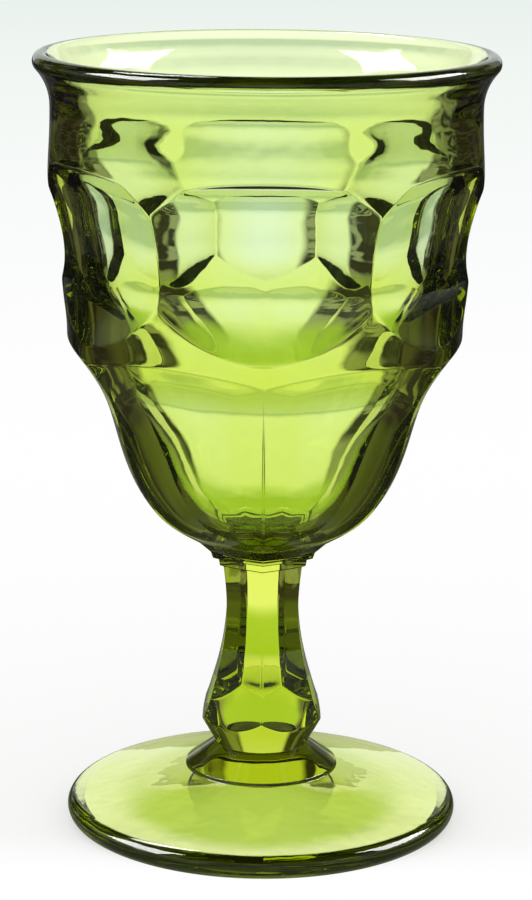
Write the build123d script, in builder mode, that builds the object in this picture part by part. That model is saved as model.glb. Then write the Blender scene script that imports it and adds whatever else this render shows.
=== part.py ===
"""Pressed glass water goblet: bowl, stepped collar, six-sided stem and foot. Millimetres, +Z up, standing on Z = 0."""

import os
from math import cos, radians, sin

from build123d import *

os.makedirs("parts", exist_ok=True)

# Pattern round the goblet
SIDES = 6
HALF_STEP = 180 / SIDES  # the thumbprints are turned this far from the flutes, in degrees
ROOM = 20.0  # how far the cutting shapes reach past the glass

# Foot
FOOT_RADIUS = 38.1
FOOT_EDGE = 4.8  # thickness at the rounded edge
FOOT_EDGE_INSET = 1.9  # edge rounding on the upper side
REST_INSET = 3.1  # edge rounding on the lower side
REST_WIDTH = 4.5  # flat ring the goblet stands on
FOOT_HOLLOW = 4.6  # height of the hollow underside in the middle
FOOT_RISE = 5.5  # from the edge up to the boss
BOSS_RADIUS = 14.8
BOSS_STEP = 0.7  # crisp edge at the bottom of the boss
BOSS_STEP_INSET = 0.14
BOSS_HEIGHT = 4.9
SEAT_RADIUS = 9.0  # round joint between the boss and the stem

# Stem: half widths across the flats, and the heights where they lie
STEM_LENGTH = 36.2
STEM_TOP = 7.55
WAIST = 7.0
WAIST_DROP = 6.0  # below the top of the stem
SPREAD = 8.3
SPREAD_RISE = 16.6  # above the bottom of the stem
KNOP = 11.6
KNOP_RISE = 5.4
KNOP_CORNER = 13.2  # radius where the turned underside starts
KNOP_CORNER_RISE = 7.4
KNOP_ROUND = 11.3  # radius half way round the turned underside
KNOP_ROUND_RISE = 4.0

# Collar: two slanted steps
COLLAR_LAP = 0.2  # the lower step is this much wider than the stem
LOWER_STEP = 1.5
LOWER_FLARE = 0.85
STEP_LEDGE = 1.0
UPPER_STEP = 1.5
UPPER_FLARE = 0.5
COLLAR_CORNER = 3.0  # the blank stands out this far past the flats

# Bowl: a turned cup, measured down from the rim
BOWL_HEIGHT = 95.6
RIM_RADIUS = 43.8
LIP_RADIUS = 1.75
LIP_TURN = 44.0  # the round of the lip starts this far below level, in degrees
RIM_FLARE = 3.2  # the neck is this much narrower than the rim
NECK_DROP = 10.0
BELT_SWELL = 0.5  # the belt above the thumbprints is this much wider than the neck
BELT_DROP = 25.2
BARREL_INSET = 2.95  # the barrel below the thumbprints is this much narrower than the neck
BARREL_DROP = 52.4

# Thumbprints: dished panels, with their depths below the neck or the barrel
PRINT_DROP = 19.2  # from the rim to the top of a thumbprint
PRINT_HEIGHT = 33.1
PRINT_AXIS = 120.0  # the panels are turned round axes this far behind the middle
PRINT_SHOULDER = 2.1
PRINT_SHOULDER_DROP = 2.0
PRINT_SLOPE = 5.05
PRINT_SLOPE_DROP = 10.4
PRINT_DEPTH = 6.7
PRINT_DEPTH_RISE = 9.8  # the deepest line, above the bottom of the thumbprint
PRINT_HEEL = 3.0
PRINT_HEEL_RISE = 2.9
PRINT_RUN_OUT = 1.4  # how far the cutting shape goes past the top and the bottom
PRINT_TOP_LEAN = 2.1
PRINT_BOTTOM_LEAN = 3.4

# Flutes: half widths of the lower bowl in the middle of each flute, and the heights where they lie
FLUTE_AXIS = 25.0  # the flutes are turned round axes this far behind the middle
FLUTE_FOOT = 2.6  # how far the bowl overhangs the collar
FLUTE_FOOT_RISE = 2.4  # above the base of the bowl
FLUTE_TURN = 19.8
FLUTE_TURN_RISE = 7.4
FLUTE_LOW = 25.25
FLUTE_LOW_RISE = 15.0
FLUTE_MIDDLE = 28.15
FLUTE_MIDDLE_RISE = 23.3
FLUTE_HIGH = 30.65
FLUTE_HIGH_RISE = 31.2
FLUTE_SCOOP = 35.4
FLUTE_SCOOP_RISE = 39.0
FLUTE_RUN_OUT = 5.7  # how far the cutting shape goes past the scoop
FLUTE_LEAN = 4.5

# Hollow of the bowl: wall thicknesses from the lip down to the floor
LIP_WALL = 3.5
LIP_BEVEL = 2.6  # how far the inside leans in below the lip
LIP_BEVEL_DROP = 4.5  # below the rim
NECK_WALL = 4.7
NECK_WALL_DROP = 10.6  # below the rim
BELT_WALL = 4.6
BELT_WALL_DROP = 18.0
PRINT_WALL = 1.7
PRINT_WALL_DROP = 36.0
SCOOP_WALL = 6.1
SCOOP_WALL_RISE = 43.6  # above the base of the bowl
FLUTE_WALL = 6.55
FLOOR_CORNER = 14.2
FLOOR_CORNER_RISE = 4.3  # above the floor
FLOOR_THICKNESS = 5.6

# Heights that follow from the pieces as they are stacked
boss_foot = FOOT_EDGE + FOOT_RISE
stem_bottom = boss_foot + BOSS_HEIGHT
stem_top = stem_bottom + STEM_LENGTH
ledge = stem_top + LOWER_STEP
bowl_base = ledge + UPPER_STEP
floor = bowl_base + FLOOR_THICKNESS
rim = bowl_base + BOWL_HEIGHT

# Foot: a low dome with a conical boss, hollow underneath
foot_edge_start = (FOOT_RADIUS - FOOT_EDGE_INSET, FOOT_EDGE)
foot_edge_middle = (FOOT_RADIUS, FOOT_EDGE / 2)
rest_outer = (FOOT_RADIUS - REST_INSET, 0)
rest_inner = (FOOT_RADIUS - REST_INSET - REST_WIDTH, 0)
with BuildPart() as foot:
    with BuildSketch(Plane.XZ):
        with BuildLine():
            Polyline(
                (0, FOOT_HOLLOW),
                (0, stem_bottom),
                (SEAT_RADIUS, stem_bottom),
                (BOSS_RADIUS - BOSS_STEP_INSET, boss_foot + BOSS_STEP),
                (BOSS_RADIUS, boss_foot),
                foot_edge_start,
            )
            TangentArc(foot_edge_middle, foot_edge_start, tangent=(0, 1))
            TangentArc(rest_outer, foot_edge_middle, tangent=(1, 0))
            Line(rest_outer, rest_inner)
            TangentArc((0, FOOT_HOLLOW), rest_inner, tangent=(1, 0))
        make_face()
    revolve(axis=Axis.Z)

# One flat side of the stem: all that lies outside a waisted line that spreads to the knop
with BuildPart() as stem_side:
    with BuildSketch(Plane.XZ):
        with BuildLine():
            Spline(
                (STEM_TOP, stem_top),
                (WAIST, stem_top - WAIST_DROP),
                (SPREAD, stem_bottom + SPREAD_RISE),
                (KNOP, stem_bottom + KNOP_RISE),
                (KNOP, stem_bottom),
            )
            Polyline(
                (KNOP, stem_bottom),
                (KNOP + ROOM, stem_bottom),
                (KNOP + ROOM, stem_top),
                (STEM_TOP, stem_top),
            )
        make_face()
    extrude(amount=KNOP + ROOM, both=True)

# Stem: a turned blank with a rounded underside, cut to six flat sides with a corner at the front
knop_corner = (KNOP_CORNER, stem_bottom + KNOP_CORNER_RISE)
with BuildPart() as stem:
    with BuildSketch(Plane.XZ):
        with BuildLine():
            Line((0, stem_bottom), (SEAT_RADIUS, stem_bottom))
            ThreePointArc(
                (SEAT_RADIUS, stem_bottom),
                (KNOP_ROUND, stem_bottom + KNOP_ROUND_RISE),
                knop_corner,
            )
            Polyline(
                knop_corner,
                (KNOP_CORNER, stem_top),
                (0, stem_top),
                (0, stem_bottom),
            )
        make_face()
    revolve(axis=Axis.Z)
    with PolarLocations(0, SIDES):
        add(stem_side.part, mode=Mode.SUBTRACT)

# One side of the collar: a stepped line turned round an axis behind the middle, so each side bows a little
collar_low = STEM_TOP + COLLAR_LAP
collar_ledge = collar_low + LOWER_FLARE
collar_mid = collar_ledge + STEP_LEDGE
collar_top = collar_mid + UPPER_FLARE
with BuildPart() as collar_side:
    with BuildSketch(Plane.XZ):
        with BuildLine():
            Polyline(
                (collar_low, stem_top),
                (collar_ledge, ledge),
                (collar_mid, ledge),
                (collar_top, bowl_base),
                (collar_top + ROOM, bowl_base),
                (collar_top + ROOM, stem_top),
                close=True,
            )
        make_face()
    revolve(axis=Axis((-FLUTE_AXIS, 0, 0), (0, 0, 1)))

# Collar: two slanted six-sided steps between the stem and the bowl
with BuildPart() as collar:
    with Locations((0, 0, stem_top)):
        Cylinder(
            collar_top + COLLAR_CORNER,
            bowl_base - stem_top,
            align=(Align.CENTER, Align.CENTER, Align.MIN),
        )
    with PolarLocations(0, SIDES):
        add(collar_side.part, mode=Mode.SUBTRACT)

# Thumbprint: what is taken away in front of one dished panel
neck_radius = RIM_RADIUS - RIM_FLARE
barrel_radius = neck_radius - BARREL_INSET
print_top = rim - PRINT_DROP
print_bottom = print_top - PRINT_HEIGHT
print_start = (neck_radius + PRINT_TOP_LEAN, print_top + PRINT_RUN_OUT)
print_end = (barrel_radius + PRINT_BOTTOM_LEAN, print_bottom - PRINT_RUN_OUT)
with BuildPart() as thumbprint:
    with BuildSketch(Plane.XZ):
        with BuildLine():
            Spline(
                print_start,
                (neck_radius - PRINT_SHOULDER, print_top - PRINT_SHOULDER_DROP),
                (neck_radius - PRINT_SLOPE, print_top - PRINT_SLOPE_DROP),
                (neck_radius - PRINT_DEPTH, print_bottom + PRINT_DEPTH_RISE),
                (barrel_radius - PRINT_HEEL, print_bottom + PRINT_HEEL_RISE),
                (barrel_radius, print_bottom),
                print_end,
            )
            Polyline(
                print_end,
                (neck_radius + ROOM, print_end[1]),
                (neck_radius + ROOM, print_start[1]),
                print_start,
            )
        make_face()
    revolve(axis=Axis((-PRINT_AXIS, 0, 0), (0, 0, 1)))

# Flute: what is taken away in front of one panel of the lower bowl, with an arched top
flute_foot = (collar_top + FLUTE_FOOT, bowl_base + FLUTE_FOOT_RISE)
flute_end = (FLUTE_SCOOP + FLUTE_LEAN, bowl_base + FLUTE_SCOOP_RISE + FLUTE_RUN_OUT)
with BuildPart() as flute:
    with BuildSketch(Plane.XZ):
        with BuildLine():
            Line((collar_top, bowl_base), flute_foot)
            Spline(
                flute_foot,
                (FLUTE_TURN, bowl_base + FLUTE_TURN_RISE),
                (FLUTE_LOW, bowl_base + FLUTE_LOW_RISE),
                (FLUTE_MIDDLE, bowl_base + FLUTE_MIDDLE_RISE),
                (FLUTE_HIGH, bowl_base + FLUTE_HIGH_RISE),
                (FLUTE_SCOOP, bowl_base + FLUTE_SCOOP_RISE),
                flute_end,
            )
            Polyline(
                flute_end,
                (neck_radius + ROOM, flute_end[1]),
                (neck_radius + ROOM, bowl_base),
                (collar_top, bowl_base),
            )
        make_face()
    revolve(axis=Axis((-FLUTE_AXIS, 0, 0), (0, 0, 1)))

# Bowl: a turned cup with a rounded flaring lip, cut by the thumbprints and the flutes
lip_middle = RIM_RADIUS - LIP_RADIUS
lip_outer = (
    lip_middle + LIP_RADIUS * cos(radians(LIP_TURN)),
    rim - LIP_RADIUS - LIP_RADIUS * sin(radians(LIP_TURN)),
)
lip_inner = (RIM_RADIUS - LIP_WALL, rim - LIP_RADIUS)
floor_corner = (FLOOR_CORNER, floor + FLOOR_CORNER_RISE)
neck = (neck_radius, rim - NECK_DROP)
with BuildPart() as bowl:
    with BuildSketch(Plane.XZ):
        with BuildLine():
            Polyline(
                (0, bowl_base),
                (barrel_radius, bowl_base),
                (barrel_radius, rim - BARREL_DROP),
                (neck_radius + BELT_SWELL, rim - BELT_DROP),
                neck,
            )
            TangentArc(neck, lip_outer, tangent=(0, 1))
            ThreePointArc(lip_outer, (lip_middle, rim), lip_inner)
            Spline(
                lip_inner,
                (lip_inner[0] - LIP_BEVEL, rim - LIP_BEVEL_DROP),
                (neck_radius - NECK_WALL, rim - NECK_WALL_DROP),
                (neck_radius - BELT_WALL, rim - BELT_WALL_DROP),
                (neck_radius - PRINT_DEPTH - PRINT_WALL, rim - PRINT_WALL_DROP),
                (FLUTE_SCOOP - SCOOP_WALL, bowl_base + SCOOP_WALL_RISE),
                (FLUTE_MIDDLE - FLUTE_WALL, bowl_base + FLUTE_MIDDLE_RISE),
                floor_corner,
            )
            TangentArc((0, floor), floor_corner, tangent=(1, 0))
            Line((0, floor), (0, bowl_base))
        make_face()
    revolve(axis=Axis.Z)
    with PolarLocations(0, SIDES, start_angle=HALF_STEP):
        add(thumbprint.part, mode=Mode.SUBTRACT)
    with PolarLocations(0, SIDES):
        add(flute.part, mode=Mode.SUBTRACT)

foot.part.label = "foot"
stem.part.label = "stem"
collar.part.label = "collar"
bowl.part.label = "bowl"

export_step(foot.part, "parts/foot.step")
export_step(stem.part, "parts/stem.step")
export_step(collar.part, "parts/collar.step")
export_step(bowl.part, "parts/bowl.step")
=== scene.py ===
from math import cos, pi, radians, sin

import bpy
import numpy as np
from mathutils import Euler, Matrix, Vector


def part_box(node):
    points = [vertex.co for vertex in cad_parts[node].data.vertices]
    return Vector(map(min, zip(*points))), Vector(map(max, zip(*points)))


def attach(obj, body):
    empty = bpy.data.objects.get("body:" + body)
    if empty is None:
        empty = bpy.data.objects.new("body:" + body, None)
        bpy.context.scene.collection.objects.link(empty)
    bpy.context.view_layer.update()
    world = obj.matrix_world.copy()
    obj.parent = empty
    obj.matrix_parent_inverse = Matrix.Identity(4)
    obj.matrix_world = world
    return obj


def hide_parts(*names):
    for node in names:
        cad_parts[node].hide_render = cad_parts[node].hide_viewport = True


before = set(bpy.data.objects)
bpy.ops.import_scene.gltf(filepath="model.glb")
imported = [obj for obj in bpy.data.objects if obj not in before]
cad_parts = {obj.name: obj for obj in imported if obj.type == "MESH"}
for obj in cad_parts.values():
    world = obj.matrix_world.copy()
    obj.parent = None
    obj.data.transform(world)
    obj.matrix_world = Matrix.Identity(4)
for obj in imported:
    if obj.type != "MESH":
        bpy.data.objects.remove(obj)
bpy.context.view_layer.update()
scene = bpy.context.scene
scene.view_settings.view_transform = "Standard"


# Camera: a long lens half a metre in front of the goblet, a little above its rim and looking
# down at the bowl. The photograph leans by a fraction of a degree, and so does the camera.
CAMERA_PLACE = (0.0, -0.5604, 0.20879)
CAMERA_DROOP = 13.567
CAMERA_YAW = -0.043
CAMERA_LEAN = 0.50
SENSOR_WIDTH = 36.0
LENS_LENGTH = 119.87
NEAREST_SEEN = 0.01
FARTHEST_SEEN = 100.0
camera = bpy.data.objects.new("camera", bpy.data.cameras.new("camera"))
camera.data.sensor_width = SENSOR_WIDTH
camera.data.lens = LENS_LENGTH
camera.data.clip_start = NEAREST_SEEN
camera.data.clip_end = FARTHEST_SEEN
camera_aim = Euler((radians(90 - CAMERA_DROOP), 0, radians(CAMERA_YAW))).to_matrix().to_4x4()
camera.matrix_world = (
    Matrix.Translation(CAMERA_PLACE) @ camera_aim @ Matrix.Rotation(radians(CAMERA_LEAN), 4, "Z")
)
scene.collection.objects.link(camera)
scene.camera = camera


# Foot: a low round dome of glass with a conical boss for the stem, pressed with a hollow
# underside so that it stands on a flat ring. Its edge is rounded by the fire that polished it.
SIDES = 6
STEP = 2 * pi / SIDES
HALF_STEP = STEP / 2
COLUMNS_TO_A_HALF_STEP = 30
CROWDING = 0.92
WELD_GAP = 0.00001


def eased(count):
    """Shares from 0 to 1 that crowd together towards both ends, for crisp edges."""
    even = np.linspace(0, 1, count)
    return even - CROWDING * np.sin(2 * pi * even) / (2 * pi)


columns = np.concatenate(
    [
        HALF_STEP * (side + eased(COLUMNS_TO_A_HALF_STEP + 1)[:-1])
        for side in range(2 * SIDES)
    ]
)


def curve_through(points, count, start=None, end=None):
    """Points on the smoothest curve through a few points. start and end are its directions there."""
    points = np.array(points, float)
    steps = np.linalg.norm(np.diff(points, axis=0), axis=1)
    runs = np.concatenate([[0], np.cumsum(steps)])
    size = len(points)
    system = np.zeros((size, size))
    wanted = np.zeros((size, 2))
    for k in range(1, size - 1):
        before, after = steps[k - 1], steps[k]
        system[k, k - 1 : k + 2] = after, 2 * (before + after), before
        wanted[k] = 3 * (
            after * (points[k] - points[k - 1]) / before + before * (points[k + 1] - points[k]) / after
        )
    for k, beside, slope in ((0, 1, start), (size - 1, size - 2, end)):
        system[k, k] = 1
        if slope is None:
            first, second = min(k, beside), max(k, beside)
            system[k, k], system[k, beside] = 2, 1
            wanted[k] = 3 * (points[second] - points[first]) / steps[first]
        else:
            wanted[k] = np.array(slope) / np.linalg.norm(slope)
    slopes = np.linalg.solve(system, wanted)
    places = np.linspace(0, runs[-1], count)
    k = np.clip(np.searchsorted(runs, places, side="right") - 1, 0, size - 2)
    h = steps[k][:, None]
    t = (places - runs[k])[:, None] / h
    return (
        (1 + 2 * t) * (1 - t) ** 2 * points[k]
        + t * (1 - t) ** 2 * h * slopes[k]
        + t**2 * (3 - 2 * t) * points[k + 1]
        + t**2 * (t - 1) * h * slopes[k + 1]
    )


def arc_points(centre, radius, first, last, count):
    """Points on a round edge, with angles in degrees from level outwards."""
    angles = np.radians(np.linspace(first, last, count))
    return np.stack([centre[0] + radius * np.cos(angles), centre[1] + radius * np.sin(angles)], 1)


def straight(first, last, count):
    """Points on a straight stretch, crowded towards its ends."""
    return np.array(first) + eased(count)[:, None] * (np.array(last) - np.array(first))


def turned(points):
    """Rows of one radius and one height all round, from points of radius and height."""
    points = np.array(points, float)
    return points[:, :1] * np.ones_like(columns), points[:, 1:] * np.ones_like(columns)


def glass_piece(name, radii, heights, bottom, top, welds):
    """A closed piece made of rows of points from its bottom to its top, with a point on the axis
    at each end. welds says of the bottom face and the top face whether they join the next piece."""
    rows, around = radii.shape
    ring = np.stack([radii * np.sin(columns), -radii * np.cos(columns), heights], 2).reshape(-1, 3)
    points = np.concatenate([ring, [[0, 0, bottom], [0, 0, top]]])
    here = np.arange(around)
    there = (here + 1) % around
    low = np.arange(rows - 1)[:, None] * around
    quads = np.stack([low + here, low + there, low + around + there, low + around + here], 2)
    last = (rows - 1) * around
    bottom_fan = np.stack([np.full(around, len(ring)), there, here], 1)
    top_fan = np.stack([np.full(around, len(ring) + 1), last + here, last + there], 1)
    faces = [*quads.reshape(-1, 4).tolist(), *bottom_fan.tolist(), *top_fan.tolist()]
    mesh = bpy.data.meshes.new(name)
    mesh.from_pydata(points.tolist(), [], faces)
    mesh.polygons.foreach_set("use_smooth", np.ones(len(faces), bool))
    weld = np.zeros(len(faces), np.float32)
    weld[-2 * around : -around] = welds[0]
    weld[-around:] = welds[1]
    mesh.attributes.new("weld", "FLOAT", "FACE").data.foreach_set("value", weld)
    piece = bpy.data.objects.new(name, mesh)
    scene.collection.objects.link(piece)
    return piece


class Wire:
    """A socket in a shader. Arithmetic on it adds Math nodes, and node() adds any other node."""

    def __init__(self, tree, socket=None):
        self.tree = tree
        self.socket = socket

    def node(self, kind, settings, sockets, output=0):
        made = self.tree.nodes.new("ShaderNode" + kind)
        for name, value in settings.items():
            setattr(made, name, value)
        for name, value in sockets.items():
            if isinstance(value, Wire):
                self.tree.links.new(value.socket, made.inputs[name])
            else:
                made.inputs[name].default_value = value
        return Wire(self.tree, made.outputs[output] if len(made.outputs) else None)

    def maths(self, operation, *values):
        return self.node("Math", {"operation": operation}, dict(enumerate(values)))

    def fade(self, start, end):
        sockets = {"Value": self, "From Min": start, "From Max": end}
        return self.node("MapRange", {"interpolation_type": "SMOOTHSTEP"}, sockets)

    def __add__(self, other):
        return self.maths("ADD", self, other)

    def __sub__(self, other):
        return self.maths("SUBTRACT", self, other)

    def __rsub__(self, other):
        return self.maths("SUBTRACT", other, self)

    def __mul__(self, other):
        return self.maths("MULTIPLY", self, other)

    __radd__ = __add__
    __rmul__ = __mul__


# The glass is clear yellow-green all through, so thick places are deeper in colour than thin ones.
# Faces where two pieces join are left out of the picture, because the real glass is one there.
GLASS_BEND = 1.52
GLASS_COLOUR = (0.905, 0.925, 0.120, 1)
GLASS_DEPTH = 160.0
GLASS_TINT = (0.87, 0.97, 0.90, 1)
WAVE_SCALE = 110.0
WAVE_DETAIL = 2.0
WAVE_HEIGHT = 0.00008
glass = bpy.data.materials.new("olive_glass")
glass.use_nodes = True
glass.node_tree.nodes.clear()
wire = Wire(glass.node_tree)
weld_faces = wire.node("Attribute", {"attribute_name": "weld"}, {}, "Fac")
spot = wire.node("TexCoord", {}, {}, "Object")
waves = wire.node("TexNoise", {}, {"Vector": spot, "Scale": WAVE_SCALE, "Detail": WAVE_DETAIL})
wavy = wire.node("Bump", {}, {"Strength": 1.0, "Distance": WAVE_HEIGHT, "Height": waves})
surface = wire.node(
    "BsdfPrincipled",
    {},
    {
        "Base Color": GLASS_TINT,
        "Roughness": 0.0,
        "IOR": GLASS_BEND,
        "Transmission Weight": 1.0,
        "Alpha": 1 - weld_faces,
        "Normal": wavy,
    },
)
inside = wire.node("VolumeAbsorption", {}, {"Color": GLASS_COLOUR, "Density": GLASS_DEPTH})
wire.node("OutputMaterial", {}, {"Surface": surface, "Volume": inside})

foot_low, foot_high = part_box("foot")
FOOT_RADIUS = foot_high.x
FOOT_TOP = foot_high.z
FOOT_EDGE = 0.0048
FOOT_EDGE_INSET = 0.0019
REST_OUTER = 0.0356
REST_INNER = 0.0338
FOOT_HOLLOW = 0.0043
HOLLOW_FLAT = 0.0078
HOLLOW_BEND = 0.0010
BOSS_RADIUS = 0.0148
BOSS_FOOT = 0.0103
BOSS_STEP = 0.0007
BOSS_STEP_LEAN = 0.2
SEAT_RADIUS = 0.0090

# Underneath: a flat middle that bends into a cone, which runs down to the ring.
hollow_side = (REST_INNER - HOLLOW_FLAT - HOLLOW_BEND / 2, -FOOT_HOLLOW)
hollow_fall = hollow_side[1] / hollow_side[0] * HOLLOW_BEND / 2
hollow_middle = (HOLLOW_FLAT, FOOT_HOLLOW)
hollow_turn = (HOLLOW_FLAT + HOLLOW_BEND, FOOT_HOLLOW + hollow_fall)

# The edge: one round from the ring up to half the height of the edge, and another on to the top.
edge_half = FOOT_EDGE / 2
edge_round = (FOOT_EDGE_INSET**2 + edge_half**2) / (2 * FOOT_EDGE_INSET)
edge_turn = np.degrees(np.arcsin(edge_half / edge_round))
rest_round = ((FOOT_RADIUS - REST_OUTER) ** 2 + edge_half**2) / (2 * edge_half)
rest_turn = np.degrees(np.arcsin((FOOT_RADIUS - REST_OUTER) / rest_round))

rest_inner = (REST_INNER, 0)
rest_outer = (REST_OUTER, 0)
edge_top = (FOOT_RADIUS - FOOT_EDGE_INSET, FOOT_EDGE)
boss_foot = (BOSS_RADIUS, BOSS_FOOT)
boss_edge = (BOSS_RADIUS - BOSS_STEP_LEAN * BOSS_STEP, BOSS_FOOT + BOSS_STEP)
seat_edge = (SEAT_RADIUS, FOOT_TOP - WELD_GAP / 2)
foot_stretches = (
    straight((0, FOOT_HOLLOW), hollow_middle, count=8),
    curve_through([hollow_middle, hollow_turn], count=8, start=(1, 0), end=hollow_side),
    straight(hollow_turn, rest_inner, count=40),
    straight(rest_inner, rest_outer, count=8),
    arc_points((REST_OUTER, rest_round), rest_round, -90, rest_turn - 90, count=16),
    arc_points((FOOT_RADIUS - edge_round, edge_half), edge_round, 0, edge_turn, count=14),
    straight(edge_top, boss_foot, count=30),
    straight(boss_foot, boss_edge, count=4),
    straight(boss_edge, seat_edge, count=16),
)
foot_outline = np.concatenate([stretch[1:] for stretch in foot_stretches])
foot = glass_piece("foot_glass", *turned(foot_outline), FOOT_HOLLOW, seat_edge[1], (0, 1))
foot.data.materials.append(glass)
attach(foot, "root")
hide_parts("foot")


# Stem: six flat sides pressed in the mould, waisted at the top and swelling to a knop, whose
# underside was turned round on the way down to the foot. A corner of it faces the front.
CORNER_ROUND = radians(0.9)
STEM_TOP_HALF = 0.00755
WAIST_HALF = 0.0070
WAIST_DROP = 0.0060
SPREAD = ((0.0083, 0.0166), (0.0097, 0.0113), (0.01065, 0.0082), (0.0115, 0.0055), (0.0116, 0.0))
KNOP_CORNER = 0.0132
KNOP_CORNER_RISE = 0.0074
KNOP_ROUND = 0.0113
KNOP_ROUND_RISE = 0.0040
STEM_CREASE = 0.00006
HALVINGS = 40


def from_middle(middle, corner_round):
    """Each column's angle from the middle of the nearest side, with the corners between sides
    rounded off. middle is the angle from the front where the first side has its middle."""
    gap = np.abs((columns - middle) % STEP - HALF_STEP)
    return HALF_STEP - np.hypot(gap, corner_round)


def lesser(first, second, smoothing):
    """The smaller of two radii, with a small round where they meet."""
    half = (first - second) / 2
    return (first + second) / 2 - np.hypot(half, smoothing)


def meeting(low, high, below, above):
    """The height in each column, between low and high, where one surface gives way to another."""
    low = np.full_like(columns, low)
    high = np.full_like(columns, high)
    for _ in range(HALVINGS):
        middle = (low + high) / 2
        under = below(middle) < above(middle)
        low = np.where(under, middle, low)
        high = np.where(under, high, middle)
    return low


def height_lookup(points, below=None, above=None):
    """A function that gives the radius on a curve at any height, or below and above beyond its ends."""
    order = np.argsort(points[:, 1])
    return lambda height: np.interp(height, points[order, 1], points[order, 0], below, above)


SEAM_HEIGHT = 0.00010
SEAM_HALF = 0.00016


def seam(radius):
    """The fine raised lines where the three parts of the mould met, one of them at the front."""
    turn = 2 * STEP
    aside = np.abs((columns + turn / 2) % turn - turn / 2) * radius
    return SEAM_HEIGHT * np.exp(-((aside / SEAM_HALF) ** 2))


stem_low, stem_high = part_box("stem")
stem_bottom = stem_low.z
stem_top = stem_high.z
stem_flat = height_lookup(
    curve_through(
        [
            (STEM_TOP_HALF, stem_top),
            (WAIST_HALF, stem_top - WAIST_DROP),
            *((half, stem_bottom + rise) for half, rise in SPREAD),
        ],
        count=400,
    )
)

# The turned underside runs on past the corners of the knop, outside the glass, so that the flats cut it.
RUN_ON = 0.002
RUN_ON_RISE = 1.6 * KNOP_CORNER_RISE
RUN_ON_END = 0.03
CREASE_BELOW = 1.5 * KNOP_CORNER_RISE
stem_under = height_lookup(
    np.concatenate(
        [
            curve_through(
                [
                    (SEAT_RADIUS, stem_bottom),
                    (KNOP_ROUND, stem_bottom + KNOP_ROUND_RISE),
                    (KNOP_CORNER, stem_bottom + KNOP_CORNER_RISE),
                ],
                count=100,
            ),
            [(KNOP_CORNER + RUN_ON, stem_bottom + RUN_ON_RISE), (RUN_ON_END, stem_top)],
        ]
    )
)
stem_angle = from_middle(HALF_STEP, CORNER_ROUND)


def stem_side(height):
    """The radius of the six flats, with the seams, in each column."""
    return stem_flat(height) / np.cos(stem_angle) + seam(stem_flat(height))


stem_start = stem_bottom + WELD_GAP / 2
stem_end = stem_top - WELD_GAP / 2
stem_crease = meeting(stem_bottom, stem_bottom + CREASE_BELOW, stem_under, stem_side)
stem_heights = np.concatenate(
    [
        stem_start + eased(count=24)[:, None] * (stem_crease - stem_start),
        stem_crease + eased(count=90)[1:, None] * (stem_end - stem_crease),
    ]
)
stem_radii = lesser(stem_side(stem_heights), stem_under(stem_heights), STEM_CREASE)
stem = glass_piece("stem_glass", stem_radii, stem_heights, stem_start, stem_end, (1, 1))
stem.data.materials.append(glass)
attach(stem, "root")
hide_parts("stem")


# Collar: two slanted steps with six slightly bowed sides, which carry the bowl on the stem.
# They are pressed in the same mould as the rest, with soft edges.
COLLAR_HALVES = ((0.0076, 0.0), (0.0084, 0.0004), (0.0086, 0.0016), (0.0098, 0.0021), (0.0101, 0.0030))
COLLAR_AXIS = 0.080


def bowed(half, angle, axis):
    """The radius at an angle from the middle of a side that bows outwards, as part of a circle
    whose axis lies that far behind the goblet's own."""
    reach = half + axis
    return np.sqrt(reach**2 - (axis * np.sin(angle)) ** 2) - axis * np.cos(angle)


collar_low, collar_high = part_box("collar")
collar_bottom = collar_low.z + WELD_GAP / 2
collar_top = collar_high.z - WELD_GAP / 2
collar_corners = np.array([(half, collar_low.z + rise) for half, rise in COLLAR_HALVES])
collar_outline = np.concatenate(
    [
        straight(first, last, count=9)[k > 0 :]
        for k, (first, last) in enumerate(zip(collar_corners, collar_corners[1:]))
    ]
)
collar_outline[:, 1] = np.clip(collar_outline[:, 1], collar_bottom, collar_top)
collar_angle = from_middle(HALF_STEP, CORNER_ROUND)
collar_radii = bowed(collar_outline[:, :1], collar_angle, COLLAR_AXIS) + seam(collar_outline[:, :1])
collar_radii = np.concatenate([np.minimum(stem_radii[-1:], collar_radii[:1]), collar_radii])
collar_heights = np.concatenate([collar_outline[:1, 1:], collar_outline[:, 1:]]) * np.ones_like(columns)
collar = glass_piece("collar_glass", collar_radii, collar_heights, collar_bottom, collar_top, (1, 1))
collar.data.materials.append(glass)
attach(collar, "root")
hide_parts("collar")


# Bowl: a pressed cup with a round flaring lip. A band of thumbprints is dished into its wall,
# and under them the lower bowl is cut to flutes with arched tops, half a side further round.
bowl_low, bowl_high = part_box("bowl")
bowl_base = bowl_low.z
RIM = bowl_high.z
RIM_RADIUS = bowl_high.x
LIP_RADIUS = 0.00175
LIP_END = 135.0
LIP_TURN = 44.0
NECK_RADIUS = 0.0406
NECK = RIM - 0.0100
UNDER_NECK_RADIUS = 0.0407
UNDER_NECK = NECK - 0.005
BELT_RADIUS = 0.0411
BELT = RIM - 0.0252
BARREL_RADIUS = 0.03765
BARREL = RIM - 0.0524
BARREL_SWELL = ((0.0382, BARREL + 0.006), (0.0398, BARREL + 0.016))
RIDGE_ROUND = radians(0.4)
PRINT_CREASE = 0.00013
CLEAR = 0.1

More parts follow.
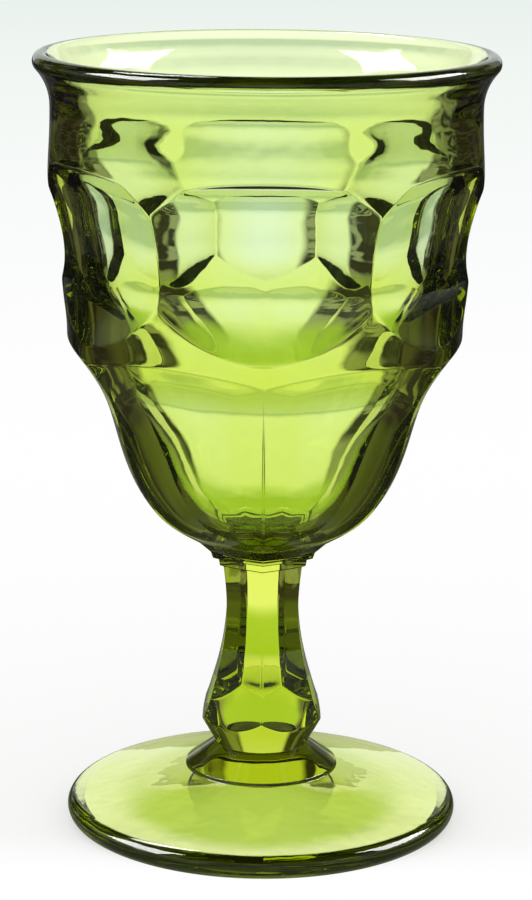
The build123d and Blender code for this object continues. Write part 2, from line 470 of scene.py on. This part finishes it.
# The round wall before anything is dished or cut into it.
lip_centre = (RIM_RADIUS - LIP_RADIUS, RIM - LIP_RADIUS)
lip_outer = arc_points(lip_centre, LIP_RADIUS, -LIP_TURN, -LIP_TURN, count=1)[0]
flare = (lip_outer[0] - NECK_RADIUS, lip_outer[1] - NECK)
flare_round = (flare[0] ** 2 + flare[1] ** 2) / (2 * flare[0])
flare_turn = np.degrees(np.arcsin(flare[1] / flare_round))
flare_centre = (NECK_RADIUS + flare_round, NECK)
blank = height_lookup(
    np.concatenate(
        [
            [(BARREL_RADIUS, bowl_base)],
            curve_through(
                [
                    (BARREL_RADIUS, BARREL),
                    *BARREL_SWELL,
                    (BELT_RADIUS, BELT),
                    (UNDER_NECK_RADIUS, UNDER_NECK),
                    (NECK_RADIUS, NECK),
                ],
                count=300,
                start=(0, 1),
                end=(0, 1),
            ),
            arc_points(flare_centre, flare_round, 180, 180 - flare_turn, count=60)[1:],
        ]
    )
)

# Thumbprints: each is a dished panel with a slanting head and heel, and with rounded corners.
PRINT_AXIS = 0.150
PRINT_TOP = RIM - 0.0192
PRINT_BOTTOM = PRINT_TOP - 0.0331
PRINT_MIDDLE = PRINT_TOP - 0.0165
PRINT_CORNER = 0.0028
PRINT_CORNER_POWER = 4
print_head = [
    (0.0430, PRINT_TOP + 0.0011),
    (0.0408, PRINT_TOP),
    (0.0394, PRINT_TOP - 0.0007),
]
print_panel = curve_through(
    [
        (0.0389, PRINT_TOP - 0.0010),
        (0.03705, PRINT_TOP - 0.0050),
        (0.0355, PRINT_TOP - 0.0102),
        (0.0342, PRINT_TOP - 0.0170),
        (0.0341, PRINT_BOTTOM + 0.0122),
        (0.0347, PRINT_BOTTOM + 0.0084),
        (0.0356, PRINT_BOTTOM + 0.0052),
        (0.03655, PRINT_BOTTOM + 0.0025),
        (BARREL_RADIUS, PRINT_BOTTOM),
    ],
    count=600,
)
print_heel = [(0.0396, PRINT_BOTTOM - 0.0011)]
print_curve = height_lookup(np.concatenate([print_head, print_panel, print_heel]), CLEAR, CLEAR)
print_angle = from_middle(0, RIDGE_ROUND)


def thumbprint(height):
    """The radius of the dished panels in each column, which end sooner towards their sides."""
    share = np.clip((height - PRINT_MIDDLE) / (PRINT_TOP - PRINT_MIDDLE), -1, 1)
    corner = PRINT_CORNER * (print_angle / HALF_STEP) ** PRINT_CORNER_POWER
    return bowed(print_curve(height + corner * share * np.abs(share)), print_angle, PRINT_AXIS)


# Flutes: a small slanted step on the collar, then six bowed sides that run out through the wall.
FLUTE_AXIS = 0.025
FLUTE_TOP = bowl_base + 0.0447
STEP_TOP = (0.0113, bowl_base + 0.0011)
FLUTE_FOOT = (0.0127, bowl_base + 0.0024)
flute_curve = height_lookup(
    np.concatenate(
        [
            [(COLLAR_HALVES[-1][0], bowl_base), STEP_TOP],
            curve_through(
                [
                    FLUTE_FOOT,
                    (0.0198, bowl_base + 0.0074),
                    (0.02523, bowl_base + 0.0150),
                    (0.02817, bowl_base + 0.0233),
                    (0.03067, bowl_base + 0.0312),
                    (0.03542, bowl_base + 0.0390),
                    (0.0399, FLUTE_TOP),
                ],
                count=600,
            ),
        ]
    ),
    None,
    CLEAR,
)
flute_angle = from_middle(HALF_STEP, RIDGE_ROUND)


def flute(height):
    """The radius of the six flutes, with the seams, in each column."""
    return bowed(flute_curve(height), flute_angle, FLUTE_AXIS) + seam(flute_curve(height))


# Rows of points follow the edges: the arches of the flutes, and the feet and heads of the prints.
ARCH_LOWEST = bowl_base + 0.030
PRINT_FOOT_LOWEST = PRINT_BOTTOM - 0.0014
PRINT_FOOT_HIGHEST = PRINT_BOTTOM + 0.0145
PRINT_HEAD_LOWEST = PRINT_TOP - 0.015
PRINT_HEAD_HIGHEST = PRINT_TOP + 0.0010
ROWS_BETWEEN_EDGES = (9, 56, 14, 56, 36)
bowl_start = bowl_base + WELD_GAP / 2
edges = (
    np.full_like(columns, bowl_start),
    np.full_like(columns, FLUTE_FOOT[1]),
    meeting(ARCH_LOWEST, FLUTE_TOP, flute, blank),
    meeting(PRINT_FOOT_LOWEST, PRINT_FOOT_HIGHEST, blank, thumbprint),
    meeting(PRINT_HEAD_LOWEST, PRINT_HEAD_HIGHEST, thumbprint, blank),
    np.full_like(columns, lip_outer[1]),
)
outer_heights = np.concatenate(
    [
        low + eased(count)[k > 0 :, None] * (high - low)
        for k, (low, high, count) in enumerate(zip(edges, edges[1:], ROWS_BETWEEN_EDGES))
    ]
)
outer_radii = lesser(blank(outer_heights), thumbprint(outer_heights), PRINT_CREASE)
outer_radii = lesser(outer_radii, flute(outer_heights), PRINT_CREASE)

# The hollow leaves a thick wall above the prints and a thin one behind them, and narrows to a round
# floor. Its points were fitted to the shapes that the photograph shows through the front wall.
FLOOR = bowl_base + 0.0056
HOLLOW_POINTS = (
    (0.03975, RIM - 0.0016),
    (0.03890, RIM - 0.0028),
    (0.03767, RIM - 0.0045),
    (0.03671, RIM - 0.0070),
    (0.03592, RIM - 0.0105),
    (0.03583, RIM - 0.0150),
    (0.03598, RIM - 0.0190),
    (0.03536, RIM - 0.0230),
    (0.03401, RIM - 0.0270),
    (0.03313, RIM - 0.0320),
    (0.03224, RIM - 0.0380),
    (0.03163, RIM - 0.0440),
    (0.02938, RIM - 0.0520),
    (0.02670, RIM - 0.0620),
    (0.02260, RIM - 0.0727),
    (0.0142, bowl_base + 0.0099),
)
lip_inner = arc_points(lip_centre, LIP_RADIUS, LIP_END, LIP_END, count=1)[0]
lip_slope = (-sin(radians(LIP_END)), cos(radians(LIP_END)))
lip_rows = turned(arc_points(lip_centre, LIP_RADIUS, -LIP_TURN, LIP_END, count=14)[1:-1])
hollow = curve_through([lip_inner, *HOLLOW_POINTS, (0.0, FLOOR)], count=90, start=lip_slope, end=(-1, 0))
hollow_rows = turned(hollow[:-1])
bowl = glass_piece(
    "bowl_glass",
    np.concatenate([outer_radii, lip_rows[0], hollow_rows[0]]),
    np.concatenate([outer_heights, lip_rows[1], hollow_rows[1]]),
    bowl_start,
    FLOOR,
    (1, 0),
)
bowl.data.materials.append(glass)
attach(bowl, "root")
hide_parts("bowl")


# Table: a wide white sheet under the goblet, painted a darker pale grey-green far off as shade. Seen
# through the
# glass it glows with painted light: a broad painted beam behind the goblet, painted dark aside of the
# beam, and near
# the goblet three painted discs of light: a green pool, a bright disc about the foot and, in the middle
# of that, a green spot.
FLOOR_HALF = 4.0
TABLE_GAP = 0.0002
NEAR_PAPER = (1.0, 1.0, 1.0, 1)
# Painted shade: far off, the sheet and the backdrop that the camera sees are darker and grey-green.
FAR_SHADED_PAPER = (0.74, 0.835, 0.77, 1)
FAR_FROM = 0.3
FAR_TO = 2.5
BEAM_MIDDLE = radians(-2)
BEAM_HALF = radians(20)
BEAM_EDGE = radians(3)
BEAM_GLOW = (1.25, 1.24, 1.38, 1)
FAR_BEAM_GLOW = (0.73, 0.82, 0.84, 1)
BEAM_FADE_FROM = 0.5
BEAM_FADE_TO = 1.6
DIM_GLOW = (0.020, 0.015, 0.016, 1)
GREEN_LIGHT_POOL = (0.13, 0.03, (0.66, 0.83, 0.22, 1))
FOOT_LIGHT_DISC = (0.048, 0.006, (1.12, 1.12, 1.12, 1))
GREEN_LIGHT_SPOT = (0.025, 0.004, (0.72, 0.86, 0.34, 1))
ROUND_ABOUT = radians(68)
ROUND_EDGE = radians(8)
ROUND_SHARE = 0.65
SIDE_SHARE = 0.02
TABLE_PATCH_SCALE = 7.0
PATCH_SHARE = 0.34
PATCH_FROM = 0.44
PATCH_TO = 0.62
TABLE_MIRROR_SHARE = 0.10
MIRRORS_SHARE = 0.05
FRONT_FROM = -0.010
FRONT_TO = -0.034
SHADOW_EASE = 0.5
floor_mesh = bpy.data.meshes.new("table_top")
floor_corners = [(x * FLOOR_HALF, y * FLOOR_HALF, 0) for x, y in ((-1, -1), (1, -1), (1, 1), (-1, 1))]
floor_mesh.from_pydata(floor_corners, [], [(0, 1, 2, 3)])
table = bpy.data.objects.new("table_top", floor_mesh)
table.location.z = -TABLE_GAP
scene.collection.objects.link(table)


def mirror_loss(wire, once_share):
    """How much light is left after the glass has mirrored it, once or more often."""
    mirrored = wire.node("LightPath", {}, {}, "Glossy Depth")
    once = mirrored.fade(0.0, 1.0)
    again = mirrored.fade(1.0, 2.0)
    return 1 - once * (1 - once_share) - again * (once_share - MIRRORS_SHARE)


def lit_ways(wire, bearing, patches, once_share):
    """How brightly the room is lit in each bearing, for light that goes into the glass."""
    off_beam = bearing.maths("ABSOLUTE", bearing - BEAM_MIDDLE)
    beam = off_beam.fade(BEAM_HALF + BEAM_EDGE, BEAM_HALF - BEAM_EDGE)
    rest = bearing.maths("ABSOLUTE", bearing).fade(ROUND_ABOUT - ROUND_EDGE, ROUND_ABOUT + ROUND_EDGE)
    patches = patches.fade(PATCH_FROM, PATCH_TO)
    sides = SIDE_SHARE + patches * (PATCH_SHARE - SIDE_SHARE) + rest * (ROUND_SHARE - PATCH_SHARE)
    return beam.maths("MAXIMUM", beam, sides) * mirror_loss(wire, once_share)


MIX_UNDER = 6
MIX_OVER = 7
MIX_COLOUR = 2


def painted(share, under, over):
    """A colour that lies over another one by a share. The Mix node's colour sockets go by number."""
    sockets = {"Factor": share, MIX_UNDER: under, MIX_OVER: over}
    return share.node("Mix", {"data_type": "RGBA"}, sockets, MIX_COLOUR)


table_paint = bpy.data.materials.new("table_paint")
table_paint.use_nodes = True
table_paint.node_tree.nodes.clear()
wire = Wire(table_paint.node_tree)
place = wire.node("NewGeometry", {}, {}, "Position")
across = wire.node("SeparateXYZ", {}, {"Vector": place}, "X")
along = wire.node("SeparateXYZ", {}, {"Vector": place}, "Y")
off_centre = wire.node("VectorMath", {"operation": "LENGTH"}, {0: place}, "Value")
patches = wire.node("TexNoise", {}, {"Vector": place, "Scale": TABLE_PATCH_SCALE, "Detail": 0.0})
# Painted light on the table: a beam where the room is lit, with painted dark aside of it.
beam = lit_ways(wire, across.maths("ARCTAN2", across, along), patches, TABLE_MIRROR_SHARE)
beam_glow_colour = painted(off_centre.fade(BEAM_FADE_FROM, BEAM_FADE_TO), BEAM_GLOW, FAR_BEAM_GLOW)
painted_glow_colour = painted(beam, DIM_GLOW, beam_glow_colour)
# Painted discs of light near the goblet: green light through the glass, and a bright disc about the foot.
for radius, edge, disc_glow_colour in (GREEN_LIGHT_POOL, FOOT_LIGHT_DISC, GREEN_LIGHT_SPOT):
    light_disc = off_centre.fade(radius + edge, radius - edge) * mirror_loss(wire, TABLE_MIRROR_SHARE)
    painted_glow_colour = painted(light_disc, painted_glow_colour, disc_glow_colour)
painted_glow = wire.node("Emission", {}, {"Color": painted_glow_colour})
# The sheet is painted darker towards the far colour with distance, as shade.
far = wire.node("MapRange", {}, {"Value": off_centre, "From Min": FAR_FROM, "From Max": FAR_TO})
shaded_paper = painted(far, NEAR_PAPER, FAR_SHADED_PAPER)
sheet = wire.node("BsdfDiffuse", {}, {"Color": shaded_paper})
shadow_easing_glow = wire.node("Emission", {}, {"Color": shaded_paper})

# The sheet also glows in its own colour, painted light that eases the shadow on it by half, and the
# shadow fades out in front of the goblet.
lift = SHADOW_EASE + along.fade(FRONT_FROM, FRONT_TO) * (1 - SHADOW_EASE)
sheet = wire.node("MixShader", {}, {0: lift, 1: sheet, 2: shadow_easing_glow})
seen = wire.node("LightPath", {}, {}, "Is Camera Ray")
mixed = wire.node("MixShader", {}, {0: seen, 1: painted_glow, 2: sheet})
wire.node("OutputMaterial", {}, {"Surface": mixed})
floor_mesh.materials.append(table_paint)


# Light: the backdrop glows behind the goblet, with the dark of the room on both sides of it. A soft
# box at each side and a narrow one high behind, all with faded edges, make the shine on the lip and
# the foot.
BACKDROP_TOP = radians(32)
BACKDROP_EDGE = radians(6)
BACKDROP_PAPER = (0.90, 0.96, 0.92, 1)
ROOM_PATCH_SCALE = 4.0
ROOM_MIRROR_SHARE = 0.88
BOXES = ((59, 102, 21, 44.6, 0.40), (-117, -76, 21, 51, -0.33), (-48, -12, 49, 58, 0.0))
BOX_EDGE = radians(1.5)
BOX_PAPER = (16.0, 16.0, 16.0, 1)
BOX_THROUGH = 0.06
SHINE_TURNS = 2.5
room = bpy.data.worlds.new("room")
scene.world = room
room.use_nodes = True
room.node_tree.nodes.clear()
wire = Wire(room.node_tree)
way = wire.node("TexCoord", {}, {}, "Generated")
way_x = wire.node("SeparateXYZ", {}, {"Vector": way}, "X")
way_y = wire.node("SeparateXYZ", {}, {"Vector": way}, "Y")
way_z = wire.node("SeparateXYZ", {}, {"Vector": way}, "Z")
bearing = way_x.maths("ARCTAN2", way_x, way_y)
upwards = way_z.maths("ARCSINE", way_z)


def between(value, low, high):
    """1 where a value lies between two bounds and 0 elsewhere, with soft edges."""
    return value.fade(low - BOX_EDGE, low + BOX_EDGE) * value.fade(high + BOX_EDGE, high - BOX_EDGE)


def soft_box(first, last, low, high, slant):
    """Where a box is seen, between two bearings and two heights in degrees, with a slanting top."""
    aside = bearing - radians((first + last) / 2)
    breadth = between(bearing, radians(first), radians(last))
    return breadth * between(upwards, radians(low), aside * slant + radians(high))


patches = wire.node("TexNoise", {}, {"Vector": way, "Scale": ROOM_PATCH_SCALE, "Detail": 0.0})
backdrop = lit_ways(wire, bearing, patches, ROOM_MIRROR_SHARE)
backdrop = backdrop * upwards.fade(BACKDROP_TOP + BACKDROP_EDGE, BACKDROP_TOP - BACKDROP_EDGE)
turns = wire.node("LightPath", {}, {}, "Ray Depth")
shine = wire.node("LightPath", {}, {}, "Is Reflection Ray") * turns.maths("LESS_THAN", turns, SHINE_TURNS)
boxes = sum(soft_box(*box) for box in BOXES) * (BOX_THROUGH + shine * (1 - BOX_THROUGH))
room_paper = painted(boxes, painted(backdrop, DIM_GLOW, BACKDROP_PAPER), BOX_PAPER)
lit = wire.node("Background", {}, {"Color": room_paper})
plain = wire.node("Background", {}, {"Color": NEAR_PAPER})
distant = wire.node("Background", {}, {"Color": FAR_SHADED_PAPER})
mirrored = wire.node("LightPath", {}, {}, "Is Glossy Ray")
through = wire.node("LightPath", {}, {}, "Is Transmission Ray")
seen = wire.node("LightPath", {}, {}, "Is Camera Ray")
mixed = wire.node("MixShader", {}, {0: through.maths("MAXIMUM", through, mirrored), 1: plain, 2: lit})
mixed = wire.node("MixShader", {}, {0: seen, 1: mixed, 2: distant})
wire.node("OutputWorld", {}, {"Surface": mixed})

# Light goes through many walls of glass before it reaches the eye.
scene.cycles.max_bounces = 32
scene.cycles.transmission_bounces = 32
scene.cycles.glossy_bounces = 16
